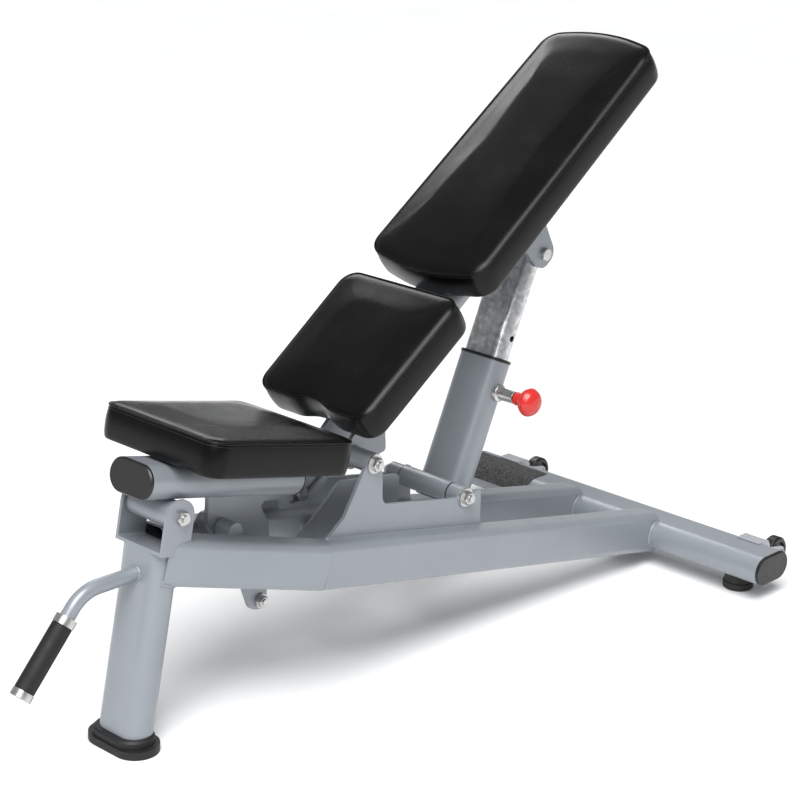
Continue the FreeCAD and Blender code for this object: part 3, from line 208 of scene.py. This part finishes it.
def galvanised_look():
    """Bright zinc on the strut's inner tube: fine crystal spangles and streaks along the tube."""
    look = Look("galvanised", Metallic=0.9, Roughness=0.3)
    along = look.add("ShaderNodeMapping")
    along.vector_type = "TEXTURE"
    along.inputs["Rotation"].default_value = (0, STRUT_LEAN, 0)
    along.inputs["Scale"].default_value = (1, 1, STREAK_LENGTH)
    look.link(look.coords, along.inputs["Vector"])
    streaks = look.add("ShaderNodeTexNoise", Scale=60.0, Detail=5.0)
    look.link(along.outputs["Vector"], streaks.inputs["Vector"])
    spangle = look.cells(150.0, "SMOOTH_F1", "Color")
    mottle = look.mapped(look.sum_of(spangle, streaks.outputs["Fac"]), 0.0, 1.0, 0.6, 1.4)
    look.colours(mottle, (0.40, 0.41, 0.42), (0.72, 0.73, 0.74), 0.1, 0.9)
    look.rough(streaks.outputs["Fac"], 0.20, 0.40)
    look.bump([(streaks.outputs["Fac"], 0.10, 0.0003)])
    return look.material


def plastic_look(name, colour, roughness, grain=900.0, strength=0.08):
    look = Look(name, Roughness=roughness)
    look.colours(look.noise(12.0, 3.0), tuple(c * 0.92 for c in colour), colour)
    look.rough(look.noise(70.0, 3.0), roughness - 0.05, roughness + 0.07)
    look.bump([(look.noise(grain, 2.0), strength, 0.0003)])
    return look.material


def knob_look():
    look = Look("knob_red", Roughness=0.28, Coat_Weight=0.4, Coat_Roughness=0.12)
    look.colours(look.noise(20.0, 3.0), (0.60, 0.020, 0.014), (0.68, 0.028, 0.018))
    look.rough(look.noise(55.0, 3.0), 0.24, 0.36)
    look.bump([(look.noise(500.0, 2.0), 0.04, 0.0002)])
    return look.material


def grit_look():
    """Anti-slip sheet: coarse mineral grit in a black binder."""
    look = Look("grip_pad", Roughness=0.85)
    look.colours(look.cells(900.0, "F1", "Color"), grey(0.015), grey(0.16), 0.25, 0.95)
    look.rough(look.noise(400.0, 2.0), 0.75, 0.95)
    look.bump([(look.cells(800.0, "F1", "Distance"), 0.8, 0.0008)])
    return look.material


def cloth_look():
    """Thin black backing cloth over plywood."""
    look = Look("board", Roughness=0.9)
    look.colours(look.noise(30.0, 4.0), grey(0.018), grey(0.034))
    look.rough(look.noise(200.0, 2.0), 0.82, 0.96)
    look.bump([(look.noise(1600.0, 2.0, (1.0, 6.0, 1.0)), 0.3, 0.0003),
               (look.noise(1600.0, 2.0, (6.0, 1.0, 1.0)), 0.3, 0.0003)])
    return look.material


def thread_look():
    look = Look("thread", Roughness=0.7)
    look.colours(look.noise(300.0, 2.0), grey(0.012), grey(0.026))
    look.rough(look.noise(500.0, 2.0), 0.6, 0.8)
    look.bump([(look.noise(2500.0, 1.0), 0.3, 0.0002)])
    return look.material


LOOKS = {
    "frame_paint": paint_look("frame_paint", (0.285, 0.310, 0.340)),
    "bracket_paint": paint_look("bracket_paint", (0.42, 0.44, 0.465)),
    "zinc": zinc_look(),
    "galvanised": galvanised_look(),
    "vinyl": vinyl_look(),
    "board": cloth_look(),
    "black_plastic": plastic_look("black_plastic", grey(0.008), 0.36),
    "foot_rubber": plastic_look("foot_rubber", grey(0.009), 0.6, 500.0, 0.2),
    "grip_rubber": plastic_look("grip_rubber", grey(0.006), 0.62, 700.0, 0.25),
    "grip_pad": grit_look(),
    "bush_plastic": plastic_look("bush_plastic", grey(0.030), 0.5),
    "knob_red": knob_look(),
    "collar_aluminium": zinc_look(),
    "spring_steel": zinc_look(),
}
THREAD = thread_look()
for part in RECORD["subparts"]:
    shown = NODES[part["node"]]
    for material_slot in shown.material_slots:
        material_slot.link = "DATA"
        material_slot.material = LOOKS[part["material_slot"]]


# ---------------------------------------------------------------- geometry helpers
COUPLED = {c["joint"]: c["ratio"] for c in RECORD["behaviour"]["couplings"]}
BACK_ANGLE = -math.radians(JOINTS["backrest_tilt"]["range_deg"][0])
SEAT_ANGLE = BACK_ANGLE * COUPLED["seat_tilt"]


def pitched(joint, angle):
    """Axes at a joint: local X rises rearward by the angle, local Y is +Y, local Z is the normal."""
    turn = Matrix.Rotation(-angle, 4, "Y")
    return Matrix.Translation(Vector(JOINTS[joint]["pos_m"])) @ turn


BACK_AXES = pitched("backrest_tilt", BACK_ANGLE)
SEAT_AXES = pitched("seat_tilt", -SEAT_ANGLE)


def new_object(name, mesh, body, material, smooth=True):
    shown = bpy.data.objects.new(name, mesh)
    scene.collection.objects.link(shown)
    mesh.materials.append(material)
    if smooth:
        mesh.shade_smooth()
    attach(shown, body)
    return shown


def tree_of(name, axes=None):
    """A search tree over a CAD node's faces, in the row frame or in other axes."""
    mesh = NODES[name].data
    back = axes.inverted() if axes is not None else Matrix.Identity(4)
    return BVHTree.FromPolygons([back @ v.co for v in mesh.vertices],
                                [tuple(p.vertices) for p in mesh.polygons])


def tube_along(name, points, radius, body, material, closed=True, ripple=0.0):
    """A round bead along points; ripple makes every other point a little thicker."""
    curve = bpy.data.curves.new(name, "CURVE")
    curve.dimensions = "3D"
    curve.bevel_depth = radius
    curve.bevel_resolution = 3
    curve.use_fill_caps = not closed
    spline = curve.splines.new("POLY")
    spline.points.add(len(points) - 1)
    for i, (target, point) in enumerate(zip(spline.points, points)):
        target.co = (*point, 1)
        target.radius = 1 + (ripple if i % 2 else -ripple)
    spline.use_cyclic_u = closed
    shaper = bpy.data.objects.new(name + "_path", curve)
    scene.collection.objects.link(shaper)
    bpy.context.view_layer.update()
    mesh = bpy.data.meshes.new_from_object(shaper.evaluated_get(
        bpy.context.evaluated_depsgraph_get()))
    bpy.data.objects.remove(shaper)
    mesh.materials.clear()
    return new_object(name, mesh, body, material)


def resampled(points, step, closed=True):
    """Points at an even spacing along a line."""
    loop = points + [points[0]] if closed else points
    lengths = [0.0]
    for a, b in zip(loop, loop[1:]):
        lengths.append(lengths[-1] + (b - a).length)
    count = max(4, round(lengths[-1] / step))
    result, i = [], 0
    for k in range(count if closed else count + 1):
        want = lengths[-1] * k / count
        while i < len(lengths) - 2 and lengths[i + 1] < want:
            i += 1
        span = max(lengths[i + 1] - lengths[i], 1e-9)
        result.append(loop[i].lerp(loop[i + 1], (want - lengths[i]) / span))
    return result


# ---------------------------------------------------------------- cushions
SEAM_BELOW_TOP = 9 * MM
OUTLINE_STEP = 5 * MM
OUTLINE_LEVEL = 0.022
OUTLINE_RAYS = 720
UNDER_SHARES = (0.3, 0.6, 0.85)
HEM_ROWS = ((8.5, 1.0), (7.5, 0.0), (3.2, 0.0), (1.2, 1.2))  # mm inward and mm up
UNDER_ROWS = 8  # rows held still: the underside and the foot of the wall
WALL_ROWS = 12
WALL_FLOOR = 3.5 * MM
WALL_BULGE = 1.6 * MM
WALL_INSET = 0.4 * MM
SEAM_PULL = 1.1 * MM
SHOULDER_ROWS = ((2.2, 1.0), (4.0, 2.8), (6.8, 4.4), (10.5, 5.6), (15.5, 6.5))  # mm inward and mm up
TOP_ROWS = 22
CROWN_POWER = 3.5
CLOTH_FRAMES = 20
CLOTH_QUALITY = 6
CLOTH_MASS = 0.4
CLOTH_STIFFNESS = 25
CLOTH_BENDING = 1.5
CLOTH_PRESSURE = 4.0
EVENING_ROUNDS = 60
SWELL_CAP = 4.0 * MM
WELT_RADIUS = 1.7 * MM
WELT_RISE = 0.6 * MM
WELT_OUT = 0.1 * MM
STITCH_PITCH, STITCH_LENGTH, STITCH_RISE = 5.0 * MM, 3.4 * MM, 0.45 * MM
STITCH_FOOT, STITCH_CREST = 0.1 * MM, 0.6 * MM


def outline_of(node, axes, level):
    """The node's plan outline at a level above its underside, in local axes, evenly spaced."""
    tree = tree_of(node, axes)
    local = [axes.inverted() @ v.co for v in NODES[node].data.vertices]
    low = Vector([min(p[i] for p in local) for i in range(3)])
    high = Vector([max(p[i] for p in local) for i in range(3)])
    middle = (low + high) / 2
    reach = (high - low).length
    ring = []
    for k in range(OUTLINE_RAYS):
        turn = 2 * math.pi * k / OUTLINE_RAYS
        outside = Vector((middle.x + reach * math.cos(turn), middle.y + reach * math.sin(turn),
                          low.z + level))
        inward = Vector((middle.x - outside.x, middle.y - outside.y, 0)).normalized()
        hit = tree.ray_cast(outside, inward)[0]
        ring.append(Vector((hit.x, hit.y, 0)))
    return resampled(ring, OUTLINE_STEP), low.z, high.z, Vector((middle.x, middle.y, 0))


def inset_ring(ring, distance):
    """The ring moved inward by a distance along its own normals."""
    count = len(ring)
    moved = []
    for i, point in enumerate(ring):
        along = (ring[(i + 1) % count] - ring[i - 1]).normalized()
        inward = Vector((-along.y, along.x, 0))
        moved.append(point + inward * distance)
    return moved


def cushion_rows(ring, middle, thick, crown):
    """Rows of points from the underside's middle, out and up the wall, over the top to its middle."""
    seam = thick - SEAM_BELOW_TOP
    rows = []
    for share in UNDER_SHARES:
        rows.append([middle.lerp(p, share) + Vector((0, 0, 1.0 * MM)) for p in ring])
    for inset, rise in HEM_ROWS:
        rows.append([p + Vector((0, 0, rise * MM)) for p in inset_ring(ring, inset * MM)])
    for k in range(1, WALL_ROWS + 1):
        rise = k / WALL_ROWS
        bulge = WALL_BULGE * math.sin(math.pi * rise) - WALL_INSET - SEAM_PULL * rise ** 6
        height = WALL_FLOOR + (seam - WALL_FLOOR) * rise
        rows.append([p + Vector((0, 0, height)) for p in inset_ring(ring, -bulge)])
    seam_row = len(rows) - 1
    for inset, rise in SHOULDER_ROWS:
        rows.append([p + Vector((0, 0, seam + rise * MM)) for p in inset_ring(ring, inset * MM)])
    shoulder = rows[-1]
    half_x = max(abs(p.x - middle.x) for p in shoulder)
    half_y = max(abs(p.y - middle.y) for p in shoulder)
    for k in range(1, TOP_ROWS):
        share = 1 - k / TOP_ROWS
        row = []
        for p in shoulder:
            x, y = (p.x - middle.x) * share, (p.y - middle.y) * share
            dome = (1 - abs(x / half_x) ** CROWN_POWER) * (1 - abs(y / half_y) ** CROWN_POWER)
            row.append(Vector((middle.x + x, middle.y + y, p.z + crown * dome)))
        rows.append(row)
    return rows, seam_row


def skin(name, rows, axes, base):
    """A closed quad mesh through the rows, with a point at each end."""
    place = axes @ Matrix.Translation((0, 0, base))
    count = len(rows[0])
    points = [place @ p for row in rows for p in row]
    first = sum(rows[0], Vector()) / count
    last = sum(rows[-1], Vector()) / count
    faces = []
    for r in range(len(rows) - 1):
        for i in range(count):
            j = (i + 1) % count
            faces.append((r * count + i, r * count + j, (r + 1) * count + j, (r + 1) * count + i))
    points += [place @ first, place @ last]
    low_end, high_end = len(points) - 2, len(points) - 1
    top = (len(rows) - 1) * count
    for i in range(count):
        j = (i + 1) % count
        faces.append((low_end, j, i))
        faces.append((top + i, top + j, high_end))
    mesh = bpy.data.meshes.new(name)
    mesh.from_pydata([tuple(p) for p in points], [], faces)
    return mesh


def evened(mesh, moves, held):
    """Movements shared out among neighbouring points, so that a taut cover has no puckers."""
    beside = [[] for _ in mesh.vertices]
    for edge in mesh.edges:
        a, b = edge.vertices
        beside[a].append(b)
        beside[b].append(a)
    for _ in range(EVENING_ROUNDS):
        shared = []
        for i, around in enumerate(beside):
            if i in held:
                shared.append(Vector())
                continue
            total = sum((moves[k] for k in around), Vector())
            shared.append((moves[i] + total / len(around)) / 2)
        moves = shared
    return moves


def inflate(shown, held):
    """Lets the cover swell as cloth under pressure, then keeps that swell, evened out and capped."""
    before = [v.co.copy() for v in shown.data.vertices]
    group = shown.vertex_groups.new(name="held")
    group.add(held, 1.0, "REPLACE")
    modifier = shown.modifiers.new("swell", "CLOTH")
    settings = modifier.settings
    settings.quality = CLOTH_QUALITY
    settings.mass = CLOTH_MASS
    settings.tension_stiffness = settings.compression_stiffness = CLOTH_STIFFNESS
    settings.bending_stiffness = CLOTH_BENDING
    settings.use_pressure = True
    settings.uniform_pressure_force = CLOTH_PRESSURE
    settings.vertex_group_mass = "held"
    settings.effector_weights.gravity = 0.0
    for step in range(1, CLOTH_FRAMES + 1):
        scene.frame_set(step)
    settled = shown.evaluated_get(bpy.context.evaluated_depsgraph_get()).data
    after = [v.co.copy() for v in settled.vertices]
    shown.modifiers.remove(modifier)
    shown.vertex_groups.clear()
    scene.frame_set(1)
    moves = evened(shown.data, [new - old for old, new in zip(before, after)], set(held))
    for vertex, old, move in zip(shown.data.vertices, before, moves):
        if move.length > SWELL_CAP:
            move *= SWELL_CAP / move.length
        vertex.co = old + move


def make_cushion(node, axes, body, crown):
    """A crowned cushion in the space of its CAD solid, with a sewn welt round its top."""
    ring, low, high, middle = outline_of(node, axes, OUTLINE_LEVEL)
    rows, seam_row = cushion_rows(ring, middle, high - low, crown)
    count = len(ring)
    mesh = skin(node + "_cover", rows, axes, low)
    shown = new_object(node + "_cover", mesh, body, LOOKS["vinyl"])
    under = list(range(0, UNDER_ROWS * count)) + [len(mesh.vertices) - 2]
    seam = list(range(seam_row * count, (seam_row + 1) * count))
    inflate(shown, under + seam)
    finer = shown.modifiers.new("finer", "SUBSURF")
    finer.levels = finer.render_levels = 1
    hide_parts(node)
    place = axes @ Matrix.Translation((0, 0, low))
    seam_line = inset_ring(rows[seam_row], -WELT_OUT)
    cord = [place @ (p + Vector((0, 0, WELT_RISE))) for p in seam_line]
    tube_along(node + "_welt", cord, WELT_RADIUS, body, LOOKS["vinyl"])
    stitches(node, rows[seam_row - 1], place, body)


def stitches(node, row, place, body):
    """A row of short thread stitches just below the seam."""
    line = resampled([p.copy() for p in row], STITCH_PITCH)
    shape = bmesh.new()
    for i, point in enumerate(line):
        along = (line[(i + 1) % len(line)] - point).normalized()
        out = Vector((along.y, -along.x, 0))
        half = along * (STITCH_LENGTH / 2)
        rise = Vector((0, 0, STITCH_RISE))
        corners = [point + half * a + rise * b + out * c for a, b, c in (
            (-1, -1, STITCH_FOOT), (1, -1, STITCH_FOOT), (1, 1, STITCH_FOOT),
            (-1, 1, STITCH_FOOT), (-0.7, 0, STITCH_CREST), (0.7, 0, STITCH_CREST))]
        v = [shape.verts.new(place @ c) for c in corners]
        for face in ((0, 1, 5, 4), (4, 5, 2, 3), (0, 4, 3), (1, 2, 5), (3, 2, 1, 0)):
            shape.faces.new([v[k] for k in face])
    mesh = bpy.data.meshes.new(node + "_stitches")
    shape.to_mesh(mesh)
    shape.free()
    new_object(node + "_stitches", mesh, body, THREAD, smooth=False)


SMALL_CROWN, LARGE_CROWN = 3.0 * MM, 3.5 * MM
make_cushion("seat_cushion", SEAT_AXES, "seat", SMALL_CROWN)
make_cushion("lumbar_cushion", BACK_AXES, "backrest", SMALL_CROWN)
make_cushion("back_cushion", BACK_AXES, "backrest", LARGE_CROWN)


# ---------------------------------------------------------------- pull-pin spring
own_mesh(NODES["pin_spring"])


# ---------------------------------------------------------------- weld beads
BEAD = 2.4 * MM
RIPPLE_PITCH = 2.6 * MM
RIPPLE_SHARE = 0.10
SHORTEST_BEAD = 14 * MM
LONG_SHARE = 0.8
TOUCH = 0.35 * MM
SEARCH_REACH = 5 * MM
SAME_POINT = 0.02 * MM
SHARP_EDGE = math.radians(25)


def contact_chains(node, other):
    """Lines along the sharp edges of a node that lie on another node's surface."""
    mesh = NODES[node].data
    tree = tree_of(other)
    shape = bmesh.new()
    shape.from_mesh(mesh)
    bmesh.ops.remove_doubles(shape, verts=shape.verts, dist=SAME_POINT)
    shape.verts.ensure_lookup_table()
    near = {v: (tree.find_nearest(v.co, SEARCH_REACH)[3] or 1.0) < TOUCH for v in shape.verts}
    kept = []
    for edge in shape.edges:
        if not all(near[v] for v in edge.verts) or len(edge.link_faces) != 2:
            continue
        if edge.calc_face_angle(0) > SHARP_EDGE:
            kept.append(edge)
    links = {}
    for edge in kept:
        a, b = edge.verts
        links.setdefault(a, []).append(b)
        links.setdefault(b, []).append(a)
    chains, used = [], set()
    starts = [v for v in links if len(links[v]) == 1] + list(links)
    for start in starts:
        if start in used:
            continue
        chain, here = [start], start
        used.add(start)
        while True:
            ahead = [v for v in links[here] if v not in used]
            if not ahead:
                break
            here = ahead[0]
            used.add(here)
            chain.append(here)
        closed = len(chain) > 3 and start in links[here]
        chains.append(([v.co.copy() for v in chain], closed))
    shape.free()
    return chains


def weld(node, other, body, bead=BEAD, longest_only=False):
    """Beads where a node's end is welded to another node."""
    chains = contact_chains(node, other)
    lengths = [sum((b - a).length for a, b in zip(c, c[1:])) for c, _ in chains]
    for i, (chain, closed) in enumerate(chains):
        too_short = max(lengths) * LONG_SHARE if longest_only else 0.0
        if lengths[i] < SHORTEST_BEAD or lengths[i] < too_short:
            continue
        line = resampled(chain, RIPPLE_PITCH, closed)
        tube_along("weld_%s_%s_%d" % (node, other, i), line, bead, body, LOOKS["frame_paint"],
                   closed, RIPPLE_SHARE)


for side in ("left", "right"):
    weld("rail_" + side, "front_post", "frame")
    weld("rail_" + side, "rear_cross_tube", "frame", longest_only=True)
    weld("side_plate_" + side, "rail_" + side, "frame")
    weld("seat_guides", "rail_" + side, "frame", 1.8 * MM)
    weld("cross_member", "rail_" + side, "frame")
    weld("side_plate_" + side, "pivot_bosses", "frame", 1.6 * MM)
weld("carry_handle", "front_post", "frame", 2.0 * MM, True)
weld("seat_bracket", "front_post", "frame", 2.0 * MM)
weld("centre_gusset", "cross_member", "frame", 1.8 * MM)
weld("back_arms", "back_tube", "backrest", 2.0 * MM)
weld("back_arms", "back_pivot_tube", "backrest", 1.8 * MM)
weld("lever_plate", "back_pivot_tube", "backrest", 1.8 * MM)
weld("strut_ears", "back_tube", "backrest", 2.0 * MM)
weld("pin_housing", "strut_sleeve", "strut_sleeve", 1.6 * MM)
weld("strut_inner_tube", "strut_eye", "strut_inner", 1.8 * MM, True)
weld("strut_sleeve", "strut_pivot_tube", "strut_sleeve", 2.0 * MM)
weld("seat_guide_plate", "seat_tube", "seat", 1.8 * MM)
weld("seat_tube", "seat_pivot_tube", "seat", 2.0 * MM)


# ---------------------------------------------------------------- floor, light and world
FLOOR_REACH = 30.0
WORLD_COLOUR, WORLD_STRENGTH = (0.96, 0.98, 1.0, 1.0), 0.33
PANEL_STRENGTH, PANEL_SPREAD, PANEL_HEADING = 3.0, math.radians(38), (0.34, 0.30, -0.89)


def make_floor():
    signs = ((-1, -1), (1, -1), (1, 1), (-1, 1))
    mesh = bpy.data.meshes.new("floor")
    mesh.from_pydata([(x * FLOOR_REACH, y * FLOOR_REACH, 0) for x, y in signs], [], [(0, 1, 2, 3)])
    floor = bpy.data.objects.new("floor", mesh)
    scene.collection.objects.link(floor)
    look = Look("floor", Roughness=0.65)
    look.colours(look.noise(0.5, 2.0), grey(0.90), grey(0.92))
    look.rough(look.noise(3.0, 2.0), 0.6, 0.7)
    mesh.materials.append(look.material)


def area_light(name, place, target, size, power):
    data = bpy.data.lights.new(name, "AREA")
    data.shape = "RECTANGLE"
    data.size, data.size_y = size
    data.energy = power
    lamp = bpy.data.objects.new(name, data)
    lamp.location = place
    lamp.rotation_mode = "QUATERNION"
    lamp.rotation_quaternion = (Vector(target) - Vector(place)).to_track_quat("-Z", "Y")
    scene.collection.objects.link(lamp)


def make_light():
    world = bpy.data.worlds.new("studio")
    world.use_nodes = True
    background = world.node_tree.nodes["Background"]
    background.inputs["Color"].default_value = WORLD_COLOUR
    background.inputs["Strength"].default_value = WORLD_STRENGTH
    scene.world = world
    sun = bpy.data.lights.new("sky_panel", "SUN")
    sun.energy = PANEL_STRENGTH
    sun.angle = PANEL_SPREAD
    panel = bpy.data.objects.new("sky_panel", sun)
    panel.rotation_mode = "QUATERNION"
    panel.rotation_quaternion = Vector(PANEL_HEADING).to_track_quat("-Z", "Y")
    scene.collection.objects.link(panel)
    area_light("key", (-2.4, -1.4, 2.6), (0, 0, 0.4), (1.6, 1.6), 38.0)
    area_light("rim", (1.8, 2.4, 2.6), (0, 0, 0.5), (2.2, 1.0), 30.0)


make_floor()
make_light()
scene.view_settings.view_transform = "Standard"
